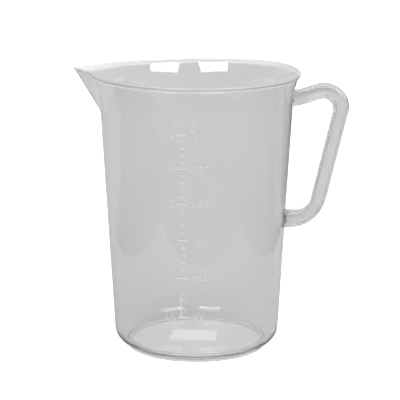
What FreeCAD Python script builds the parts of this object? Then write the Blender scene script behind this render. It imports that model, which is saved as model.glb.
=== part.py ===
import FreeCAD, Part
import math
import os

# Translucent polypropylene measuring jug, 3000 mL, with a V spout and a loop handle.
# Millimetres. Origin: centre of the foot's underside, on the vessel's axis. +Z is up,
# the handle points along +X, the spout along -X and the raised scale faces -Y.
# The real jug is one moulding. Its regions are separate solids that meet face to face.

Vector = FreeCAD.Vector
AXIS = Vector(0, 0, 1)

# ---- vessel ----
BASE_RADIUS = 67.9        # outer radius of the wall's cone, carried down to z = 0
DRAFT = 0.0567            # outward lean of the wall, mm per mm of height
WALL = 2.0
FOOT_HEIGHT = 2.5
FOOT_RADIUS = 58.0
FOOT_WIDTH = 2.6
FLOOR_THICKNESS = 3.2
CORNER_RADIUS = 13.8      # outside, between floor and wall
INNER_CORNER_RADIUS = 11.0
FLARE_START = 206.0       # height where the wall starts to open out
FLARE_RADIUS = 75.0
RIM_HEIGHT = 230.7
RIM_RADIUS = 85.9
BEAD_HEIGHT = 2.6

# ---- spout ----
SPOUT_HALF_ANGLE = 50.0   # between a side and the spout's middle plane, seen from above
KEEL_TOP_X = -102.3       # keel's outer edge at KEEL_TOP_Z
KEEL_TOP_Z = 231.5
KEEL_SLOPE = 0.622        # the keel's run per mm of height
KEEL_RADIUS = 3.5
SPOUT_LOW = 188.0         # below this height the spout is inside the wall
SPOUT_HIGH = 238.0
SPOUT_ROOT_X = -55.0
LIFT_START_X = -74.0      # from here to the tip the rim climbs
LIFT_SLOPE = 0.075
SECTOR_HALF_ANGLE = 27.0  # the wall's sector that belongs to the spout
SECTOR_LOW = 189.0        # the spout's part of the wall starts at this height
SPOUT_BEAD = 0.8

# ---- handle ----
HANDLE_WIDTH = 15.0
FLANGE_THICKNESS = 1.8
WEB_THICKNESS = 2.4
HANDLE_ROOT_X = 66.0      # inside the wall, trimmed later
UPPER_TOP_Z = 217.6
UPPER_UNDER_Z = 206.0
LOWER_TOP_Z = 116.6
LOWER_UNDER_Z = 104.0
ARM_RISE = 19.1           # slope of the upper arm, degrees
GRIP_LEAN = 13.13         # lean of the grip, degrees from vertical
ARM_RISE_OUTER_X = 83.5   # where the upper arm's top starts to climb
ARM_RISE_INNER_X = 85.2
GRIP_OUTER_X = 102.54     # the grip's outer face, carried down to LOWER_UNDER_Z
GRIP_INNER_X = 92.83      # the grip's inner face, carried down to LOWER_TOP_Z
ROOT_BEND_RADIUS = 15.0
UPPER_OUTER_RADIUS = 20.0
UPPER_INNER_RADIUS = 8.0
LOWER_OUTER_RADIUS = 32.0
LOWER_INNER_RADIUS = 14.0

# ---- graduation, raised on the front wall ----
RELIEF = 0.35
CAPACITY = 3000           # mL at the top mark
LOWEST_MARK = 500         # mL
MINOR_STEP = 100          # mL
MAJOR_STEP = 500          # mL
MINOR_TICK = (3.4, 0.7)   # width, height
MAJOR_TICK = (8.0, 0.9)
LINE_WIDTH = 0.6          # the fine upright line beside the low ticks
LINE_TOP = 750            # mL, the level that the line climbs to
NUMERAL_HEIGHT = 5.0
NUMERAL_WIDTH = 2.5
NUMERAL_PITCH = 3.4
STROKE = 0.65
ML_START = 7.4            # from the scale's middle to the first mL numeral
LITRE_END = -5.8          # from the scale's middle to the end of the litre numerals
UNIT_LIFT = 9.0           # the unit marks stand this far above the top mark

# ---- paper label on the floor, inside ----
LABEL_SIZE = (39.0, 29.5)
LABEL_THICKNESS = 0.15
LABEL_CENTRE = (-2.4, 1.0)
LABEL_TURN = 3.5          # degrees

REACH = 150.0             # beyond the whole jug, for cutting shapes
FILLET_CENTROID = 0.223   # of a fillet's radius, from the corner that it fills
FLOOR_TOP = FOOT_HEIGHT + FLOOR_THICKNESS
LEAN = math.atan(DRAFT)

os.makedirs("parts", exist_ok=True)


def save(shape, node):
    """Writes one node, after checking that it is a valid closed solid or a group of them."""
    if not shape.isValid() or not shape.Solids:
        raise RuntimeError(node + " is not a valid solid")
    shape.exportStep("parts/" + node + ".step")
    print("%-22s %3d solid(s) %10.1f mm3" % (node, len(shape.Solids), shape.Volume))


def outer_radius(z):
    """The straight wall's outer radius at height z."""
    return BASE_RADIUS + DRAFT * z


def at(radius, z):
    return Vector(radius, 0, z)


def line(a, b):
    return Part.LineSegment(a, b).toShape()


def arc(a, middle, b):
    return Part.Arc(a, middle, b).toShape()


def revolve(edges):
    """A solid of revolution about the vessel's axis from a closed outline in the XZ plane."""
    return Part.Face(Part.Wire(Part.__sortEdges__(edges))).revolve(Vector(), AXIS, 360)


def corner_arc(wall_offset, floor_z, radius):
    """The rounded corner between a floor at floor_z and the wall, as three points from floor to wall."""
    centre_z = floor_z + radius
    centre_r = outer_radius(centre_z) - wall_offset - radius / math.cos(LEAN)
    points = []
    for angle in (-math.pi / 2, (-math.pi / 2 - LEAN) / 2, -LEAN):
        points.append(at(centre_r + radius * math.cos(angle), centre_z + radius * math.sin(angle)))
    return points


def flare_arc(wall_offset, top_z):
    """The flare's arc, tangent to the wall at FLARE_START, as three points going up."""
    centre = at(outer_radius(FLARE_START), FLARE_START)
    centre = centre + Vector(FLARE_RADIUS * math.cos(LEAN), 0, -FLARE_RADIUS * math.sin(LEAN))
    radius = FLARE_RADIUS + wall_offset
    points = []
    for step in range(3):
        z = FLARE_START + (top_z - FLARE_START) * step / 2 + wall_offset * math.sin(LEAN) * (step == 0)
        points.append(at(centre.x - math.sqrt(radius ** 2 - (z - centre.z) ** 2), z))
    return points


def vessel_fill(wall_offset, floor_z, corner_radius, top_z):
    """The solid inside one of the vessel's two skins, from its floor to top_z."""
    low, low_mid, high = corner_arc(wall_offset, floor_z, corner_radius)
    start, flare_mid, end = flare_arc(wall_offset, top_z)
    edges = [
        line(at(0, floor_z), low),
        arc(low, low_mid, high),
        line(high, start),
        arc(start, flare_mid, end),
        line(end, at(0, top_z)),
        line(at(0, top_z), at(0, floor_z)),
    ]
    return revolve(edges)


def spout_section(z, offset, keel_radius):
    """A rounded V at height z, its skin moved inwards by offset."""
    half = math.radians(SPOUT_HALF_ANGLE)
    tip_x = KEEL_TOP_X - KEEL_SLOPE * (z - KEEL_TOP_Z) + offset
    centre_x = tip_x + keel_radius
    touch = Vector(centre_x - keel_radius * math.sin(half), keel_radius * math.cos(half), z)
    run = (SPOUT_ROOT_X - touch.x) / math.cos(half)
    root = touch + Vector(run * math.cos(half), run * math.sin(half), 0)
    mirror_touch = Vector(touch.x, -touch.y, z)
    mirror_root = Vector(root.x, -root.y, z)
    edges = [
        line(mirror_root, mirror_touch),
        arc(mirror_touch, Vector(tip_x, 0, z), touch),
        line(touch, root),
        line(root, mirror_root),
    ]
    return Part.Wire(edges)


def spout_fill(offset, keel_radius):
    """The wedge inside one of the spout's two skins."""
    low = spout_section(SPOUT_LOW, offset, keel_radius)
    high = spout_section(SPOUT_HIGH, offset, keel_radius)
    return Part.makeLoft([low, high], True, True)


def rim_cutter(drop):
    """Everything above the rim's top surface, which climbs towards the spout's tip. drop lowers it."""
    low = RIM_HEIGHT - drop
    tip = low + LIFT_SLOPE * (REACH + LIFT_START_X)
    roof = RIM_HEIGHT + REACH
    points = [
        Vector(REACH, -REACH, low),
        Vector(LIFT_START_X, -REACH, low),
        Vector(-REACH, -REACH, tip),
        Vector(-REACH, -REACH, roof),
        Vector(REACH, -REACH, roof),
    ]
    face = Part.Face(Part.makePolygon(points + points[:1]))
    return face.extrude(Vector(0, 2 * REACH, 0))


def slab(low, high):
    """Everything between two heights."""
    return Part.makeBox(2 * REACH, 2 * REACH, high - low, Vector(-REACH, -REACH, low))


def spout_sector():
    """The wedge of space about -X that holds the spout's part of the wall."""
    half = math.radians(SECTOR_HALF_ANGLE)
    points = [
        Vector(0, 0, SECTOR_LOW),
        Vector(-REACH * math.cos(half), REACH * math.sin(half), SECTOR_LOW),
        Vector(-REACH * math.cos(half), -REACH * math.sin(half), SECTOR_LOW),
    ]
    face = Part.Face(Part.makePolygon(points + points[:1]))
    return face.extrude(Vector(0, 0, REACH))


def make_foot_ring(outside):
    """The ring that the jug stands on. Its top follows the rounded corner above it."""
    ring = Part.makeCylinder(FOOT_RADIUS, CORNER_RADIUS / 2)
    ring = ring.cut(Part.makeCylinder(FOOT_RADIUS - FOOT_WIDTH, CORNER_RADIUS / 2))
    return ring.cut(outside)


def rounded_path(corners, radii):
    """An open outline in the XZ plane through the corners, each inner corner rounded by its radius."""
    edges = []
    start = at(*corners[0])
    for index, radius in enumerate(radii, 1):
        corner = at(*corners[index])
        back = (at(*corners[index - 1]) - corner).normalize()
        ahead = (at(*corners[index + 1]) - corner).normalize()
        half = back.getAngle(ahead) / 2
        reach = radius / math.tan(half)
        bisector = (back + ahead).normalize()
        middle = corner + bisector * (radius / math.sin(half) - radius)
        edges.append(line(start, corner + back * reach))
        edges.append(arc(corner + back * reach, middle, corner + ahead * reach))
        start = corner + ahead * reach
    edges.append(line(start, at(*corners[-1])))
    return edges


def moved_path(corners, radii, shift):
    """The same outline moved sideways, to the right of its direction, with concentric corners."""
    rights = []
    for a, b in zip(corners, corners[1:]):
        length = math.hypot(b[0] - a[0], b[1] - a[1])
        rights.append(((b[1] - a[1]) / length, -(b[0] - a[0]) / length))
    moved = [(corners[0][0] + rights[0][0] * shift, corners[0][1] + rights[0][1] * shift)]
    new_radii = []
    for index in range(1, len(corners) - 1):
        first = rights[index - 1]
        second = rights[index]
        scale = shift / (1 + first[0] * second[0] + first[1] * second[1])
        corner = corners[index]
        x = corner[0] + (first[0] + second[0]) * scale
        z = corner[1] + (first[1] + second[1]) * scale
        moved.append((x, z))
        turns_right = first[0] * second[1] - first[1] * second[0] < 0
        new_radii.append(radii[index - 1] - shift if turns_right else radii[index - 1] + shift)
    last = rights[-1]
    moved.append((corners[-1][0] + last[0] * shift, corners[-1][1] + last[1] * shift))
    return moved, new_radii


def handle_outlines():
    """The handle's outer and inner outlines from the upper root round to the lower root."""
    climb = math.tan(math.radians(ARM_RISE))
    lean = math.tan(math.radians(GRIP_LEAN))

    def outline(top_z, rise_x, grip_x, bottom_z, radii):
        height = (top_z - bottom_z + climb * (grip_x - rise_x)) / (1 - climb * lean)
        corners = [
            (HANDLE_ROOT_X, top_z),
            (rise_x, top_z),
            (grip_x + lean * height, bottom_z + height),
            (grip_x, bottom_z),
            (HANDLE_ROOT_X, bottom_z),
        ]
        return corners, radii

    outer_radii = [ROOT_BEND_RADIUS, UPPER_OUTER_RADIUS, LOWER_OUTER_RADIUS]
    inner_radii = [ROOT_BEND_RADIUS, UPPER_INNER_RADIUS, LOWER_INNER_RADIUS]
    outer = outline(UPPER_TOP_Z, ARM_RISE_OUTER_X, GRIP_OUTER_X, LOWER_UNDER_Z, outer_radii)
    inner = outline(UPPER_UNDER_Z, ARM_RISE_INNER_X, GRIP_INNER_X, LOWER_TOP_Z, inner_radii)
    return outer, inner


def strip(first, second, width):
    """The solid between two outlines, of this width about the handle's middle plane."""
    a = rounded_path(*first)
    b = rounded_path(*second)
    ends = [
        line(at(*first[0][0]), at(*second[0][0])),
        line(at(*first[0][-1]), at(*second[0][-1])),
    ]
    face = Part.Face(Part.Wire(Part.__sortEdges__(a + b + ends)))
    face.translate(Vector(0, -width / 2, 0))
    return face.extrude(Vector(0, width, 0))


def make_handle(vessel):
    """The double-T handle: two flanges and the web between them, trimmed to the vessel's skin."""
    outer, inner = handle_outlines()
    outer_web = moved_path(*outer, FLANGE_THICKNESS)
    inner_web = moved_path(*inner, -FLANGE_THICKNESS)
    pieces = {
        "handle_outer_flange": strip(outer, outer_web, HANDLE_WIDTH),
        "handle_inner_flange": strip(inner_web, inner, HANDLE_WIDTH),
        "handle_web": strip(outer_web, inner_web, WEB_THICKNESS),
    }
    return {node: piece.cut(vessel) for node, piece in pieces.items()}


def volume_below(z):
    """The jug's contents in mL when it is filled to height z."""
    low = outer_radius(FLOOR_TOP) - WALL
    high = outer_radius(z) - WALL
    frustum = math.pi * (z - FLOOR_TOP) * (low ** 2 + low * high + high ** 2) / 3
    corner = (1 - math.pi / 4) * INNER_CORNER_RADIUS ** 2
    corner_path = 2 * math.pi * (low - FILLET_CENTROID * INNER_CORNER_RADIUS)
    return (frustum - corner * corner_path) / 1000


def mark_height(volume):
    """The height of the mark for this many mL, by bisection."""
    low = FLOOR_TOP
    high = RIM_HEIGHT
    while high - low > 0.001:
        middle = (low + high) / 2
        if volume_below(middle) < volume:
            low = middle
        else:
            high = middle
    return low


def relief_skin():
    """The thin skin outside the wall that the raised marks are cut from."""
    low = FOOT_HEIGHT + CORNER_RADIUS
    high = FLARE_START
    corners = [
        at(outer_radius(low), low),
        at(outer_radius(low) + RELIEF, low),
        at(outer_radius(high) + RELIEF, high),
        at(outer_radius(high), high),
    ]
    edges = [line(a, b) for a, b in zip(corners, corners[1:] + corners[:1])]
    return revolve(edges)


def on_wall(face, offset, z):
    """A flat face, drawn about the origin in the XZ plane, pushed through the front wall at height z."""
    radius = outer_radius(z)
    depth = 2 * WALL
    plate = face.copy()
    plate.translate(Vector(0, -radius - depth / 2, z))
    solid = plate.extrude(Vector(0, depth, 0))
    solid.rotate(Vector(), AXIS, math.degrees(offset / radius))
    return solid


def bar(width, height):
    """A flat rectangle about the origin in the XZ plane."""
    x = width / 2
    z = height / 2
    points = [at(-x, -z), at(x, -z), at(x, z), at(-x, z)]
    return Part.Face(Part.makePolygon(points + points[:1]))


def stroke(a, b):
    """One straight pen stroke with round ends, in units of the numeral's box."""
    start = at(a[0] * NUMERAL_WIDTH, (a[1] - 0.5) * NUMERAL_HEIGHT)
    end = at(b[0] * NUMERAL_WIDTH, (b[1] - 0.5) * NUMERAL_HEIGHT)
    along = (end - start).normalize()
    side = Vector(along.z, 0, -along.x) * (STROKE / 2)
    tip = along * (STROKE / 2)
    edges = [
        line(start + side, end + side),
        arc(end + side, end + tip, end - side),
        line(end - side, start - side),
        arc(start - side, start - tip, start + side),
    ]
    return Part.Face(Part.Wire(edges))


# Each character is drawn with straight strokes through these points, across 0..1 and up 0..1.
ROUND = [(0, 0.25), (0, 0.75), (0.25, 1), (0.75, 1), (1, 0.75), (1, 0.25), (0.75, 0), (0.25, 0), (0, 0.25)]
STROKES = {
    "0": [ROUND],
    "1": [[(0.2, 0.8), (0.6, 1), (0.6, 0)]],
    "2": [[(0, 0.8), (0.25, 1), (0.75, 1), (1, 0.75), (0.9, 0.5), (0, 0), (1, 0)]],
    "3": [[(0, 0.9), (0.3, 1), (0.8, 1), (1, 0.75), (0.7, 0.53), (1, 0.3), (0.8, 0), (0.3, 0), (0, 0.1)]],
    "5": [[(0.95, 1), (0.1, 1), (0.05, 0.55), (0.7, 0.6), (1, 0.35), (0.8, 0), (0.2, 0), (0, 0.1)]],
    ".": [[(0.4, 0), (0.6, 0)]],
    "m": [
        [(0, 0), (0, 0.6)],
        [(0, 0.5), (0.3, 0.62), (0.5, 0.5), (0.5, 0)],
        [(0.5, 0.5), (0.8, 0.62), (1, 0.5), (1, 0)],
    ],
    "l": [[(0.5, 0), (0.5, 1)]],
    "L": [[(0.1, 1), (0.1, 0), (0.9, 0)]],
}


def write(text, start, z):
    """The text's characters as solids, left to right from start."""
    solids = []
    for index, character in enumerate(text):
        faces = []
        for points in STROKES[character]:
            faces += [stroke(a, b) for a, b in zip(points, points[1:])]
        flat = faces[0].multiFuse(faces[1:]).removeSplitter() if len(faces) > 1 else faces[0]
        offset = start + index * NUMERAL_PITCH + NUMERAL_WIDTH / 2
        flat.translate(Vector(-NUMERAL_WIDTH / 2, 0, 0))
        for face in flat.Faces:
            solids.append(on_wall(face, offset, z))
    return solids


def raised(solids, skin):
    """The marks' solids, cut to a skin of even height that follows the wall."""
    pieces = []
    for solid in solids:
        pieces += solid.common(skin).Solids
    return pieces


def make_scale_line(skin):
    """The fine upright line at the left ends of the low ticks."""
    low = mark_height(LOWEST_MARK)
    high = mark_height(LINE_TOP)
    offset = -(MINOR_TICK[0] + LINE_WIDTH) / 2
    upright = on_wall(bar(LINE_WIDTH, high - low), offset, (low + high) / 2)
    return upright.common(skin)


def make_scale():
    """Tick marks, numerals and units, as groups of raised solids."""
    skin = relief_skin()
    minor = []
    major = []
    litres = []
    millilitres = []
    for volume in range(LOWEST_MARK, CAPACITY + 1, MINOR_STEP):
        z = mark_height(volume)
        if volume % MAJOR_STEP:
            minor.append(on_wall(bar(*MINOR_TICK), 0, z))
            continue
        major.append(on_wall(bar(*MAJOR_TICK), 0, z))
        millilitres += write(str(volume), ML_START, z)
        text = "%g" % (volume / 1000)
        litres += write(text, LITRE_END - len(text) * NUMERAL_PITCH, z)
    top = mark_height(CAPACITY)
    units = write("ml", ML_START, top + UNIT_LIFT) + write("L", LITRE_END - NUMERAL_PITCH, top + UNIT_LIFT)
    groups = {
        "hundred_ml_ticks": minor,
        "half_litre_ticks": major,
        "litre_numerals": litres,
        "millilitre_numerals": millilitres,
        "unit_marks": units,
    }
    shapes = {node: Part.makeCompound(raised(solids, skin)) for node, solids in groups.items()}
    shapes["scale_line"] = make_scale_line(skin).cut(shapes["half_litre_ticks"])
    return shapes


def make_base_label():
    """A blank paper label stuck to the floor, inside the vessel."""
    length, width = LABEL_SIZE
    label = Part.makeBox(length, width, LABEL_THICKNESS, Vector(-length / 2, -width / 2, 0))
    label.rotate(Vector(), AXIS, LABEL_TURN)
    label.translate(Vector(LABEL_CENTRE[0], LABEL_CENTRE[1], FLOOR_TOP))
    return label


body_outside = vessel_fill(0, FOOT_HEIGHT, CORNER_RADIUS, SPOUT_HIGH)
body_inside = vessel_fill(WALL, FLOOR_TOP, INNER_CORNER_RADIUS, SPOUT_HIGH)
outside = body_outside.fuse(spout_fill(0, KEEL_RADIUS))
inside = body_inside.fuse(spout_fill(WALL, KEEL_RADIUS - WALL))
shell = outside.cut(inside).cut(rim_cutter(0))

sector = spout_sector()
corner_top = corner_arc(0, FOOT_HEIGHT, CORNER_RADIUS)[2].z
nodes = {
    "floor_and_corner": shell.common(slab(0, corner_top)),
    "foot_ring": make_foot_ring(body_outside),
    "side_wall": shell.common(slab(corner_top, FLARE_START)).cut(sector),
    "flared_mouth": shell.common(slab(FLARE_START, SPOUT_HIGH)).cut(sector),
    "pouring_spout": shell.common(sector),
}

bead_ring = Part.makeCylinder(RIM_RADIUS, SPOUT_HIGH - FLARE_START, Vector(0, 0, FLARE_START))
bead = bead_ring.fuse(spout_fill(-SPOUT_BEAD, KEEL_RADIUS + SPOUT_BEAD))
bead = bead.common(rim_cutter(BEAD_HEIGHT)).cut(rim_cutter(0)).cut(outside)
nodes["rim_bead"] = bead

nodes.update(make_handle(outside.cut(rim_cutter(0))))
nodes.update(make_scale())
nodes["base_label"] = make_base_label()

for name, shape in nodes.items():
    save(shape, name)
print("top mark at %.2f mm, holds %.0f mL" % (mark_height(CAPACITY), volume_below(mark_height(CAPACITY))))
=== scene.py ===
import bpy
import math
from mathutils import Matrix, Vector


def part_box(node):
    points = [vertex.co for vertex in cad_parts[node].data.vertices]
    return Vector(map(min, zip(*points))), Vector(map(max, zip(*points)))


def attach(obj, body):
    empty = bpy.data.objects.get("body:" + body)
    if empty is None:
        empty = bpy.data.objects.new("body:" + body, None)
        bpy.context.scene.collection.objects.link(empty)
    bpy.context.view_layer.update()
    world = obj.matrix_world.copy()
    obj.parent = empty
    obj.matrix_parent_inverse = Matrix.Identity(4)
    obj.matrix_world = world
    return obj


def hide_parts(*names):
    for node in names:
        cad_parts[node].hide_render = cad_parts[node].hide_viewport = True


# A translucent polypropylene measuring jug: one vessel skin with its spout, foot and rim, an
# I-section loop handle, the raised scale, and a paper label on the floor inside.
# Sizes are in millimetres, unless a heading or comment says metres, and meshes are scaled by MM.
# +X points to the handle, -X to the spout, and the scale faces -Y.

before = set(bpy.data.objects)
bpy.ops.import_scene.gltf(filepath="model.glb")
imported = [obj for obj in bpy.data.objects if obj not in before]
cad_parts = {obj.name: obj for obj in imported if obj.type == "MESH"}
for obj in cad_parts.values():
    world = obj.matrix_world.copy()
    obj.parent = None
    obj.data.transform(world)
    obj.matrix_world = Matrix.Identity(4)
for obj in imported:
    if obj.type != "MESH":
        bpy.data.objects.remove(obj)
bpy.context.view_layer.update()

MM = 0.001

# ---- vessel, the same sizes as the CAD part's ----
BASE_RADIUS = 67.9
DRAFT = 0.0567
WALL = 2.0
FOOT_HEIGHT = 2.5
FOOT_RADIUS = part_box("foot_ring")[1].x / MM
FOOT_WIDTH = 2.6
FOOT_EDGE = 0.7
FLOOR_TOP = 5.7
CORNER_RADIUS = 13.8
INNER_CORNER_RADIUS = 11.0
FLARE_START = 206.0
FLARE_RADIUS = 75.0
RIM_HEIGHT = 230.7
RIM_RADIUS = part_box("rim_bead")[1].y / MM
BEAD_HEIGHT = 2.6
BEAD_LEDGE = 0.15            # share of the step from wall to bead that is a flat ledge
BEAD_ROUNDING = 0.7          # the radius under the bead, as a share of that step
RIM_OUTER_EDGE = 1.2
RIM_INNER_EDGE = 1.2
RIM_INNER_DROP = 1.6         # the wall inside starts this far below the rim
RIM_HAZE_DEPTH = 4.0         # how far below the rim the plastic starts to look milkier
LEAN = math.atan(DRAFT)

# ---- how finely the vessel's skin is divided ----
HUB_RADIUS = 6.0             # inside this, a fan of triangles closes the floor
HUB_APPROACH = 4.0           # the floor's first ring lies this far inside the corner's centre
FLAT_ROWS = 10
EDGE_ROWS = 4
RIM_EDGE_ROWS = 5
CORNER_ROWS = 16
INNER_CORNER_ROWS = 14
WALL_ROWS = 20
SPOUT_ROWS = 11
FLARE_ROWS = 12
COLUMNS = ((0, 4, 10), (4, 24, 32), (24, 60, 20), (60, 180, 48))    # from, to (degrees), steps

# The moulding's slight warp: where it is round the rim, from the spout towards the scale,
# how far it reaches to each side, and how high it lifts the rim.
WARPS = ((math.radians(-146), math.radians(72), 1.9), (math.radians(52), math.radians(48), 0.7))
WAVE_DEPTH = 12              # the skin starts to follow the rim's rise this far below the flare

# ---- spout ----
SPOUT_HALF_ANGLE = math.radians(50)
KEEL_TOP_X = 102.3
KEEL_TOP_Z = 231.5
KEEL_SLOPE = 0.622
KEEL_ROUNDING = 0.018        # radians; larger is a blunter tip
KEEL_WALL = 1.2              # the keel's thickness along its run, in walls
SPOUT_BEAD = 0.5             # share of the bead's step that the spout keeps
SPOUT_BLEND = 5.0            # how far the fillet between spout and wall reaches
SPOUT_LOW = 184.0
SPOUT_LIFT = 2.1             # the spout's lip stands this far above the rim
LIFT_FULL = math.radians(16)
LIFT_NONE = math.radians(24)         # on the scale's side
LIFT_NONE_BACK = math.radians(62)    # on the other side the lip runs out more slowly

# ---- handle ----
HANDLE_WIDTH = 15.0
FLANGE_THICKNESS = 1.8
WEB_THICKNESS = 2.4
EDGE_ROUNDING = 0.6
WEB_FILLET = 1.0
HANDLE_ROOT_X = 66.0
UPPER_TOP_Z = 217.6
UPPER_UNDER_Z = 206.0
LOWER_TOP_Z = 116.6
LOWER_UNDER_Z = 104.0
ARM_RISE = math.radians(19.1)
GRIP_LEAN = math.radians(13.13)
ARM_RISE_OUTER_X = 83.5
ARM_RISE_INNER_X = 85.2
GRIP_OUTER_X = 102.54
GRIP_INNER_X = 92.83
OUTER_RADII = (15.0, 20.0, 32.0)
INNER_RADII = (15.0, 8.0, 14.0)
ROOT_GAP = 0.02              # the handle's ends stop this far short of the wall
BEND_STEPS = 14
EDGE_STEPS = 4

# ---- label on the floor inside, and raised marks ----
LABEL_SIZE = (39.0, 29.5)
LABEL_CORNER = 0.6
LABEL_THICKNESS = 0.15
LABEL_SINK = 0.03            # the label's back lies this far into the plastic, so no faces coincide
LABEL_TURN = math.radians(3.5)
LABEL_STEPS = 6
MARK_EDGE = 0.12
MARK_SEGMENTS = 2
MARK_SINK = 0.08
TICKS = ("hundred_ml_ticks", "half_litre_ticks", "scale_line")
WRITING = ("litre_numerals", "millilitre_numerals", "unit_marks")

# ---- materials ----
PLASTIC_IOR = 1.49
GRAIN_SCALE = 60             # fine unevenness, in the gloss and as a slight bump
GRAIN_DETAIL = 3
GRAIN_ROUGHNESS = (0.008, 0.022)
GRAIN_BUMP = 0.015
GRAIN_DEPTH = 0.0004         # metres
DRIFT_SCALE = 11             # broad drift of the shade
DRIFT_DETAIL = 1
DRIFT_RANGE = (0.3, 0.7)
DRIFT_LOW = (0.985, 0.985, 0.99)
DRIFT_HIGH = (1.005, 1.005, 1.01)
ABSORPTION_COLOUR = (0.62, 0.66, 0.70, 1)
ABSORPTION_DENSITY = 5
FIBRE_SCALE = 900
FIBRE_DETAIL = 4
FIBRE_LOW = (0.88, 0.88, 0.87)
FIBRE_HIGH = (0.97, 0.97, 0.96)
FIBRE_ROUGHNESS = (0.75, 0.95)
# the label's glow is painted light, which makes it brighter than the floor round it
PAPER_PAINTED_GLOW = 0.20

# ---- camera, in metres ----
CAMERA_DISTANCE = 1.4512     # level, from the vessel's axis
CAMERA_HEIGHT = 0.4474
CAMERA_AZIMUTH = math.radians(8.36)
CAMERA_PITCH = math.radians(12.59)
CAMERA_LENS = 160.3
CAMERA_SHIFT = 0.0089
CAMERA_SENSOR = 36
CAMERA_CLIP = (0.05, 20)

# ---- floor, in metres ----
# The floor is plain and white to the eye. Rays mirrored off the jug see a bright square ground on it
# instead, with
# darkness beyond: a painted reflection, whose edge shows in the wall.
FLOOR_HALF = 3.0
FLOOR_ROUGHNESS = 0.9
FLOOR_SEEN = 1.0             # the floor's own light, as the eye sees it straight
GROUND_PAINTED_GLOW_NEAR = 0.265     # its painted light as the jug takes it, near the jug, dimmer here as painted shade
GROUND_PAINTED_GLOW_FAR = 0.345      # the same, further off
GROUND_GLOW_REACH = (0.1, 0.8)
GROUND_TURN = math.radians(12.3)
GROUND_HALF = 0.309
GROUND_FRONT = 0.290         # from the jug's axis to the square's front edge
GROUND_BEHIND = (0.12, 0.25)         # over this way back, the ground widens to the left without end
GROUND_BLUR = 0.005
# the painted reflection's darkness beyond the ground
PAINTED_REFLECTION_DARK = (0.04, 0.04, 0.042)
GROUND_PALE = (0.34, 0.34, 0.34)
UNDER_PAINTED_GLOW = 0.29            # more painted light from the patch under the jug, a painted pool of light
UNDER_RADIUS = 0.058
UNDER_BLUR = (0.004, 0.008)  # inwards and outwards

# ---- studio light, in metres and watts ----
WORLD_COLOUR = (0.98, 0.99, 1.0, 1)
WORLD_FRONT = (-0.9, 0.45)   # direction along Y, and the strength there
WORLD_BACK = (0.4, 0.78)
SOFTBOXES = (("softbox_right", 51, 0.80), ("softbox_left", -15, 0.74))    # azimuth, width
SOFTBOX_ELEVATION = 34
SOFTBOX_DISTANCE = 1.3
SOFTBOX_HEIGHT = 0.50
SOFTBOX_POWER = 10
SOFTBOX_AIM = 0.12           # height of the point that they face


def outer_radius(z):
    """The wall's outer radius at height z, with the flare below the rim."""
    radius = BASE_RADIUS + DRAFT * z
    if z <= FLARE_START:
        return radius
    centre_r = BASE_RADIUS + DRAFT * FLARE_START + FLARE_RADIUS * math.cos(LEAN)
    centre_z = FLARE_START - FLARE_RADIUS * math.sin(LEAN)
    return centre_r - math.sqrt(FLARE_RADIUS ** 2 - (z - centre_z) ** 2)


def smooth_step(low, high, x):
    t = min(max((x - low) / (high - low), 0.0), 1.0)
    return t * t * (3 - 2 * t)


def smooth_max(a, b, reach):
    h = max(reach - abs(a - b), 0.0) / reach
    return max(a, b) + h * h * reach / 4


def span(low, high, steps):
    """steps values from low up to, not including, high."""
    return [low + (high - low) * i / steps for i in range(steps)]


def arc(centre_r, centre_z, radius, start, end, steps):
    """Points on an arc, from start to end in degrees, both included."""
    points = []
    for i in range(steps + 1):
        angle = math.radians(start + (end - start) * i / steps)
        points.append((centre_r + radius * math.cos(angle), centre_z + radius * math.sin(angle)))
    return points


def outer_profile():
    """The outer skin as (radius, height) from the underside's middle to the rim's top."""
    foot_inner = FOOT_RADIUS - FOOT_WIDTH
    lean = math.degrees(LEAN)
    corner_z = FOOT_HEIGHT + CORNER_RADIUS
    corner_r = outer_radius(corner_z) - CORNER_RADIUS / math.cos(LEAN)
    foot_meets = -math.degrees(math.acos((FOOT_RADIUS - corner_r) / CORNER_RADIUS))
    points = [(r, FOOT_HEIGHT) for r in span(HUB_RADIUS, foot_inner - FOOT_EDGE, FLAT_ROWS)]
    points += arc(foot_inner - FOOT_EDGE, FOOT_HEIGHT - FOOT_EDGE, FOOT_EDGE, 90, 0, EDGE_ROWS)
    points += arc(foot_inner + FOOT_EDGE, FOOT_EDGE, FOOT_EDGE, 180, 270, EDGE_ROWS)
    points += arc(FOOT_RADIUS - FOOT_EDGE, FOOT_EDGE, FOOT_EDGE, 270, 360, EDGE_ROWS)
    points += [(FOOT_RADIUS, FOOT_HEIGHT - FOOT_EDGE)]
    points += arc(corner_r, corner_z, CORNER_RADIUS, foot_meets, -lean, CORNER_ROWS)
    bead_low = RIM_HEIGHT - BEAD_HEIGHT
    heights = span(points[-1][1], SPOUT_LOW, WALL_ROWS)[1:]
    heights += span(SPOUT_LOW, FLARE_START, SPOUT_ROWS)
    heights += span(FLARE_START, bead_low, FLARE_ROWS)
    points += [(outer_radius(z), z) for z in heights]
    step = RIM_RADIUS - outer_radius(bead_low)
    under = BEAD_ROUNDING * step
    edge = RIM_OUTER_EDGE
    points += [(outer_radius(bead_low) + BEAD_LEDGE * step, bead_low)]
    points += arc(RIM_RADIUS - under, bead_low + under, under, 270, 360, EDGE_ROWS)
    points += arc(RIM_RADIUS - edge, RIM_HEIGHT - edge, edge, 0, 90, RIM_EDGE_ROWS)
    return points


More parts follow.
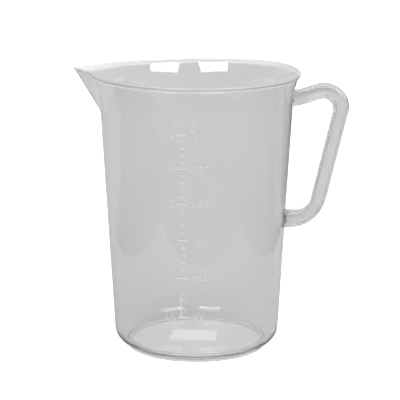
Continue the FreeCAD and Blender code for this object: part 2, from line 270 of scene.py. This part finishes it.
def inner_profile():
    """The inner skin, from the rim's top down to the floor's middle."""
    lean = math.degrees(LEAN)
    top_r = outer_radius(RIM_HEIGHT) - WALL
    edge = RIM_INNER_EDGE
    points = arc(top_r + edge, RIM_HEIGHT - edge, edge, 90, 180, EDGE_ROWS)
    corner_z = FLOOR_TOP + INNER_CORNER_RADIUS
    corner_r = outer_radius(corner_z) - WALL - INNER_CORNER_RADIUS / math.cos(LEAN)
    heights = span(RIM_HEIGHT - RIM_INNER_DROP, FLARE_START, FLARE_ROWS)
    heights += span(FLARE_START, SPOUT_LOW, SPOUT_ROWS)
    heights += span(SPOUT_LOW, corner_z - INNER_CORNER_RADIUS * math.sin(LEAN), WALL_ROWS)
    points += [(outer_radius(z) - WALL, z) for z in heights]
    points += arc(corner_r, corner_z, INNER_CORNER_RADIUS, -lean, -90, INNER_CORNER_ROWS)
    points += [(r, FLOOR_TOP) for r in span(corner_r - HUB_APPROACH, HUB_RADIUS, FLAT_ROWS)]
    points += [(HUB_RADIUS, FLOOR_TOP)]
    return points


def column_angles():
    """Angles from the spout's middle plane, closer together near the spout."""
    half = [angle for low, high, steps in COLUMNS for angle in span(low, high, steps)]
    return [math.radians(a) for a in half + [180.0] + [-a for a in reversed(half[1:])]]


def spout_radius(height, delta, inset):
    """The wedge's radius at this height and angle, its skin moved in by inset."""
    tip = KEEL_TOP_X + KEEL_SLOPE * (height - KEEL_TOP_Z) - KEEL_WALL * inset
    sharp = tip * math.sin(SPOUT_HALF_ANGLE + KEEL_ROUNDING)
    away = math.hypot(delta, KEEL_ROUNDING)
    return sharp / math.sin(min(SPOUT_HALF_ANGLE + away, math.pi / 2))


def rim_wave(delta):
    """How far the rim stands above its plane: the spout's lip, and the moulding's slight warp."""
    none = LIFT_NONE if delta > 0 else LIFT_NONE_BACK
    lift = SPOUT_LIFT * (1 - smooth_step(LIFT_FULL, none, abs(delta)))
    for middle, reach, height in WARPS:
        lift += height * (1 - smooth_step(0, reach, abs(delta - middle)))
    return lift


def skin_point(radius, height, delta):
    """A profile's point turned to angle delta, lifted by the rim's wave and drawn out by the spout."""
    share = smooth_step(FLARE_START - WAVE_DEPTH, RIM_HEIGHT - BEAD_HEIGHT, height)
    z = height + share * rim_wave(delta)
    r = radius
    if height >= SPOUT_LOW:
        inset = outer_radius(height) - radius
        if inset < 0:
            inset *= SPOUT_BEAD
        r = smooth_max(radius, spout_radius(z, delta, inset), SPOUT_BLEND)
    return Vector((-r * math.cos(delta), -r * math.sin(delta), z)) * MM


def make_object(name, vertices, faces, smooth=True):
    mesh = bpy.data.meshes.new(name)
    mesh.from_pydata(vertices, [], faces)
    mesh.validate()
    mesh.update()
    if smooth:
        mesh.shade_smooth()
    else:
        mesh.shade_flat()
    obj = bpy.data.objects.new(name, mesh)
    bpy.context.scene.collection.objects.link(obj)
    return obj


def grid_faces(rows, columns):
    """Quads between neighbouring rows of points, each row closed into a ring."""
    faces = []
    for i in range(rows - 1):
        for j in range(columns):
            k = (j + 1) % columns
            faces.append((i * columns + j, i * columns + k, (i + 1) * columns + k, (i + 1) * columns + j))
    return faces


def make_vessel():
    """The vessel's closed skin: the profiles swept round, with a fan at the middle of each side."""
    angles = column_angles()
    profile = outer_profile() + inner_profile()
    vertices = [skin_point(r, z, a) for r, z in profile for a in angles]
    columns = len(angles)
    faces = grid_faces(len(profile), columns)
    first = len(vertices)
    vertices.append(Vector((0, 0, profile[0][1])) * MM)
    vertices.append(Vector((0, 0, profile[-1][1])) * MM)
    last_row = (len(profile) - 1) * columns
    for j in range(columns):
        k = (j + 1) % columns
        faces.append((first, k, j))
        faces.append((first + 1, last_row + j, last_row + k))
    return make_object("vessel", vertices, faces)


# ---------------------------------------------------------------- handle

def rounded_path(corners, radii, steps):
    """Points along an outline whose inner corners are rounded, the same count whatever its sizes."""
    points = [Vector(corners[0])]
    for index, radius in enumerate(radii, 1):
        corner = Vector(corners[index])
        back = (Vector(corners[index - 1]) - corner).normalized()
        ahead = (Vector(corners[index + 1]) - corner).normalized()
        half = back.angle(ahead) / 2
        centre = corner + (back + ahead).normalized() * (radius / math.sin(half))
        start = corner + back * (radius / math.tan(half)) - centre
        end = corner + ahead * (radius / math.tan(half)) - centre
        turn = start.angle(end)
        for i in range(steps + 1):
            t = i / steps
            mix = start * math.sin((1 - t) * turn) + end * math.sin(t * turn)
            points.append(centre + mix / math.sin(turn))
    points.append(Vector(corners[-1]))
    return points


def handle_outline(top_z, rise_x, grip_x, bottom_z, radii):
    climb = math.tan(ARM_RISE)
    lean = math.tan(GRIP_LEAN)
    height = (top_z - bottom_z + climb * (grip_x - rise_x)) / (1 - climb * lean)
    corners = [
        (HANDLE_ROOT_X, top_z),
        (rise_x, top_z),
        (grip_x + lean * height, bottom_z + height),
        (grip_x, bottom_z),
        (HANDLE_ROOT_X, bottom_z),
    ]
    return rounded_path(corners, radii, BEND_STEPS)


def handle_section(depth):
    """The I-section as (across, up from the inner face), with rounded edges and web fillets."""
    w = HANDLE_WIDTH / 2
    t = WEB_THICKNESS / 2
    low = FLANGE_THICKNESS
    high = depth - FLANGE_THICKNESS
    corners = [
        (w, 0, EDGE_ROUNDING), (w, low, EDGE_ROUNDING), (t, low, WEB_FILLET),
        (t, high, WEB_FILLET), (w, high, EDGE_ROUNDING), (w, depth, EDGE_ROUNDING),
    ]
    corners += [(-y, u, r) for y, u, r in reversed(corners)]
    points = []
    for index, (y, u, radius) in enumerate(corners):
        corner = Vector((y, u))
        back = (Vector(corners[index - 1][:2]) - corner).normalized()
        ahead = (Vector(corners[(index + 1) % len(corners)][:2]) - corner).normalized()
        centre = corner + (back + ahead) * radius
        for i in range(EDGE_STEPS + 1):
            angle = math.pi / 2 * i / EDGE_STEPS
            points.append(centre - ahead * radius * math.cos(angle) - back * radius * math.sin(angle))
    return points


def make_handle():
    """The I-section swept along the loop, with its ends shaped to the wall."""
    outer = handle_outline(UPPER_TOP_Z, ARM_RISE_OUTER_X, GRIP_OUTER_X, LOWER_UNDER_Z, OUTER_RADII)
    inner = handle_outline(UPPER_UNDER_Z, ARM_RISE_INNER_X, GRIP_INNER_X, LOWER_TOP_Z, INNER_RADII)
    vertices = []
    stations = len(outer)
    for station, (o, i) in enumerate(zip(outer, inner)):
        section = handle_section((o - i).length)
        up = (o - i).normalized()
        for y, u in section:
            x, z = i + up * u
            if station in (0, stations - 1):
                x = math.sqrt((outer_radius(z) + ROOT_GAP) ** 2 - y * y)
            vertices.append(Vector((x, y, z)) * MM)
    count = len(section)
    faces = grid_faces(stations, count)
    faces.append(tuple(reversed(range(count))))
    faces.append(tuple(range((stations - 1) * count, stations * count)))
    return make_object("handle", vertices, faces)


# ---------------------------------------------------------------- label and scale

def make_label():
    """The blank paper label on the floor inside, a sheet with slightly rounded corners."""
    low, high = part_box("base_label")
    centre = (low + high) / 2 / MM
    outline = []
    for corner in range(4):
        turn = corner * 90
        x = (LABEL_SIZE[0] / 2 - LABEL_CORNER) * (1 if corner in (0, 3) else -1)
        y = (LABEL_SIZE[1] / 2 - LABEL_CORNER) * (1 if corner in (0, 1) else -1)
        outline += arc(x, y, LABEL_CORNER, turn, turn + 90, LABEL_STEPS)
    c = math.cos(LABEL_TURN)
    k = math.sin(LABEL_TURN)
    outline = [(centre.x + x * c - y * k, centre.y + x * k + y * c) for x, y in outline]
    top = FLOOR_TOP + LABEL_THICKNESS
    bottom = FLOOR_TOP - LABEL_SINK
    vertices = [Vector((x, y, z)) * MM for z in (bottom, top) for x, y in outline]
    count = len(outline)
    faces = grid_faces(2, count)
    faces.append(tuple(reversed(range(count))))
    faces.append(tuple(range(count, 2 * count)))
    return make_object("label", vertices, faces, smooth=False)


def sink_marks(node):
    """Rounds a raised mark's edges and sinks its back a little into the wall, so no faces coincide."""
    bevel = node.modifiers.new("rounded edges", "BEVEL")
    bevel.width = MARK_EDGE * MM
    bevel.segments = MARK_SEGMENTS
    bevel.limit_method = "ANGLE"
    sink = node.modifiers.new("sunk into the wall", "DISPLACE")
    sink.direction = "Y"
    sink.mid_level = 0
    sink.strength = MARK_SINK * MM


# ---------------------------------------------------------------- materials

def new_material(name):
    """A node material, as the material, its node tree and its shader."""
    material = bpy.data.materials.new(name)
    material.use_nodes = True
    return material, material.node_tree, material.node_tree.nodes["Principled BSDF"]


def feed(tree, node, inputs):
    """Sets a node's inputs. A value that is another node's output is linked instead."""
    for name, value in inputs.items():
        if isinstance(value, bpy.types.NodeSocket):
            tree.links.new(value, node.inputs[name])
        else:
            node.inputs[name].default_value = value


def add(tree, kind, inputs):
    node = tree.nodes.new(kind)
    feed(tree, node, inputs)
    return node


def object_place(tree):
    return tree.nodes.new("ShaderNodeTexCoord").outputs["Object"]


def noise(tree, place, scale, detail):
    inputs = {"Vector": place, "Scale": scale, "Detail": detail}
    return add(tree, "ShaderNodeTexNoise", inputs).outputs["Fac"]


def between(tree, value, low, high, start, end):
    """Goes from start to end as value goes from low to high."""
    inputs = {"Value": value, "From Min": low, "From Max": high, "To Min": start, "To Max": end}
    return add(tree, "ShaderNodeMapRange", inputs).outputs["Result"]


def combine(tree, operation, *values):
    """A math node. All its inputs have one name, so they are reached in order."""
    node = tree.nodes.new("ShaderNodeMath")
    node.operation = operation
    for socket, value in zip(node.inputs, values):
        if isinstance(value, bpy.types.NodeSocket):
            tree.links.new(value, socket)
        else:
            socket.default_value = value
    return node.outputs["Value"]


def shade(tree, value, low, high, places=(0, 1)):
    """A colour that goes from low to high as value goes between the two places."""
    ramp = add(tree, "ShaderNodeValToRGB", {"Fac": value})
    for element, place, colour in zip(ramp.color_ramp.elements, places, (low, high)):
        element.position = place
        element.color = (*colour, 1)
    return ramp.outputs["Color"]


def plastic(name, pale, haze, rim_haze=None):
    """Milky plastic. Its shade drifts a little round pale, as the moulding's thickness does.
    With rim_haze it turns milkier at the rim, where the plastic is thicker."""
    material, tree, shader = new_material(name)
    place = object_place(tree)
    grain = noise(tree, place, GRAIN_SCALE, GRAIN_DETAIL)
    drift = noise(tree, place, DRIFT_SCALE, DRIFT_DETAIL)
    low = [pale * share for share in DRIFT_LOW]
    high = [pale * share for share in DRIFT_HIGH]
    bump = {"Strength": GRAIN_BUMP, "Distance": GRAIN_DEPTH, "Height": grain}
    feed(tree, shader, {
        "IOR": PLASTIC_IOR,
        "Transmission Weight": 1 - haze,
        "Base Color": shade(tree, drift, low, high, DRIFT_RANGE),
        "Roughness": between(tree, grain, 0, 1, *GRAIN_ROUGHNESS),
        "Normal": add(tree, "ShaderNodeBump", bump).outputs["Normal"],
    })
    if rim_haze is not None:
        height = add(tree, "ShaderNodeSeparateXYZ", {"Vector": place}).outputs["Z"]
        haze_low = (RIM_HEIGHT - RIM_HAZE_DEPTH) * MM
        clearness = between(tree, height, haze_low, RIM_HEIGHT * MM, 1 - haze, 1 - rim_haze)
        feed(tree, shader, {"Transmission Weight": clearness})
    absorption = {"Color": ABSORPTION_COLOUR, "Density": ABSORPTION_DENSITY}
    volume = add(tree, "ShaderNodeVolumeAbsorption", absorption).outputs["Volume"]
    feed(tree, tree.nodes["Material Output"], {"Volume": volume})
    return material


def paper():
    """Plain white label paper with faint fibres. It glows a little with painted light, to look as bright
    as it should.
    """
    material, tree, shader = new_material("label_paper")
    fibres = noise(tree, object_place(tree), FIBRE_SCALE, FIBRE_DETAIL)
    colour = shade(tree, fibres, FIBRE_LOW, FIBRE_HIGH)
    feed(tree, shader, {
        "Base Color": colour,
        # painted light: the label glows though it is no lamp
        "Emission Color": colour,
        "Emission Strength": PAPER_PAINTED_GLOW,
        "Roughness": between(tree, fibres, 0, 1, *FIBRE_ROUGHNESS),
    })
    return material


def painted_reflection_square(tree, place):
    """1 on the bright ground and 0 beyond it, a painted reflection that only rays mirrored off the jug
    see. Behind the jug it has no left edge.
    """
    turned = add(tree, "ShaderNodeMapping", {"Vector": place, "Rotation": (0, 0, -GROUND_TURN)})
    split = add(tree, "ShaderNodeSeparateXYZ", {"Vector": turned.outputs["Vector"]})
    sideways = split.outputs["X"]
    forward = split.outputs["Y"]
    left = between(tree, sideways, -GROUND_HALF - GROUND_BLUR, -GROUND_HALF + GROUND_BLUR, 0, 1)
    right = between(tree, sideways, GROUND_HALF - GROUND_BLUR, GROUND_HALF + GROUND_BLUR, 1, 0)
    front = between(tree, forward, -GROUND_FRONT - GROUND_BLUR, -GROUND_FRONT + GROUND_BLUR, 0, 1)
    behind = between(tree, forward, *GROUND_BEHIND, 0, 1)
    ground = combine(tree, "MAXIMUM", combine(tree, "MULTIPLY", left, front), behind)
    return combine(tree, "MULTIPLY", ground, right)


def make_floor():
    """A large table that glows a little, as a light box does; the glow is painted light. It looks
    different to three kinds of ray, and this isn't physical light. The eye sees it white. Rays through
    the jug see it grey, as when a product shot's grey ground is cut out to white, with painted shade near
    the jug and a painted pool of light under it. Rays mirrored off the jug see the square ground, with
    darkness beyond, as a painted reflection."""
    sides = ((-1, -1), (1, -1), (1, 1), (-1, 1))
    corners = [Vector((x * FLOOR_HALF, y * FLOOR_HALF, 0)) for x, y in sides]
    floor = make_object("floor", corners, [(0, 1, 2, 3)])
    material, tree, shader = new_material("floor_white")
    place = object_place(tree)
    # Rays mirrored off the jug see a painted reflection: the bright square ground, dark beyond it.
    path = tree.nodes.new("ShaderNodeLightPath")
    not_mirrored = combine(tree, "SUBTRACT", 1, path.outputs["Is Reflection Ray"])
    ground = combine(tree, "MAXIMUM", painted_reflection_square(tree, place), not_mirrored)
    away = tree.nodes.new("ShaderNodeVectorMath")
    away.operation = "LENGTH"
    tree.links.new(place, away.inputs[0])
    away = away.outputs["Value"]
    # Painted light for rays through the jug: dimmer near the jug, as painted shade, and a painted pool of
    # light under it.
    painted_glow = between(tree, away, *GROUND_GLOW_REACH, GROUND_PAINTED_GLOW_NEAR, GROUND_PAINTED_GLOW_FAR)
    inwards, outwards = UNDER_BLUR
    under = between(tree, away, UNDER_RADIUS - inwards, UNDER_RADIUS + outwards, UNDER_PAINTED_GLOW, 0)
    through = combine(tree, "ADD", combine(tree, "MULTIPLY", ground, painted_glow), under)
    seen = combine(tree, "MULTIPLY", path.outputs["Is Camera Ray"], FLOOR_SEEN)
    feed(tree, shader, {
        "Base Color": shade(tree, ground, PAINTED_REFLECTION_DARK, GROUND_PALE),
        "Roughness": FLOOR_ROUGHNESS,
        "Emission Color": (1, 1, 1, 1),
        "Emission Strength": combine(tree, "ADD", through, seen),
    })
    material.cycles.emission_sampling = "NONE"
    floor.data.materials.append(material)


# ---------------------------------------------------------------- light and camera

def make_world():
    """Soft light from all round, brighter from behind the jug."""
    world = bpy.data.worlds.new("studio")
    world.use_nodes = True
    tree = world.node_tree
    direction = tree.nodes.new("ShaderNodeTexCoord").outputs["Generated"]
    backwards = add(tree, "ShaderNodeSeparateXYZ", {"Vector": direction}).outputs["Y"]
    (low, start), (high, end) = WORLD_FRONT, WORLD_BACK
    strength = between(tree, backwards, low, high, start, end)
    feed(tree, tree.nodes["Background"], {"Color": WORLD_COLOUR, "Strength": strength})
    bpy.context.scene.world = world


def make_softbox(name, azimuth, width):
    """A rectangular area light aimed at the jug. Azimuth 0 is in front, and 90 is to the right."""
    data = bpy.data.lights.new(name, "AREA")
    data.shape = "RECTANGLE"
    data.size = width
    data.size_y = SOFTBOX_HEIGHT
    data.energy = SOFTBOX_POWER
    light = bpy.data.objects.new(name, data)
    bpy.context.scene.collection.objects.link(light)
    a = math.radians(azimuth)
    e = math.radians(SOFTBOX_ELEVATION)
    back = Vector((math.sin(a) * math.cos(e), -math.cos(a) * math.cos(e), math.sin(e)))
    light.location = Vector((0, 0, SOFTBOX_AIM)) + back * SOFTBOX_DISTANCE
    light.rotation_euler = (-back).to_track_quat("-Z", "Y").to_euler()


def make_camera():
    data = bpy.data.cameras.new("camera")
    data.lens = CAMERA_LENS
    data.sensor_width = CAMERA_SENSOR
    data.shift_x = CAMERA_SHIFT
    data.clip_start, data.clip_end = CAMERA_CLIP
    camera = bpy.data.objects.new("camera", data)
    bpy.context.scene.collection.objects.link(camera)
    x = CAMERA_DISTANCE * math.sin(CAMERA_AZIMUTH)
    y = -CAMERA_DISTANCE * math.cos(CAMERA_AZIMUTH)
    camera.location = (x, y, CAMERA_HEIGHT)
    camera.rotation_euler = (math.pi / 2 - CAMERA_PITCH, 0, CAMERA_AZIMUTH)
    bpy.context.scene.camera = camera


# ---------------------------------------------------------------- the scene

clear_plastic = plastic("polypropylene", 0.93, 0.05, rim_haze=0.45)
handle_plastic = plastic("polypropylene_handle", 0.88, 0.26)
frosted_plastic = plastic("frosted_ticks", 0.96, 0.50)
faint_plastic = plastic("frosted_writing", 0.94, 0.32)

vessel = make_vessel()
vessel.data.materials.append(clear_plastic)
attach(vessel, "root")
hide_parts("floor_and_corner", "foot_ring", "side_wall", "flared_mouth", "pouring_spout", "rim_bead")

handle = make_handle()
handle.data.materials.append(handle_plastic)
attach(handle, "root")
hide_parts("handle_outer_flange", "handle_inner_flange", "handle_web")

label = make_label()
label.data.materials.append(paper())
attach(label, "root")
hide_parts("base_label")

for name in TICKS + WRITING:
    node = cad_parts[name]
    node.data.materials.clear()
    node.data.materials.append(frosted_plastic if name in TICKS else faint_plastic)
    sink_marks(node)

make_floor()
make_world()
for name, azimuth, width in SOFTBOXES:
    make_softbox(name, azimuth, width)
make_camera()
bpy.context.scene.view_settings.view_transform = "Standard"
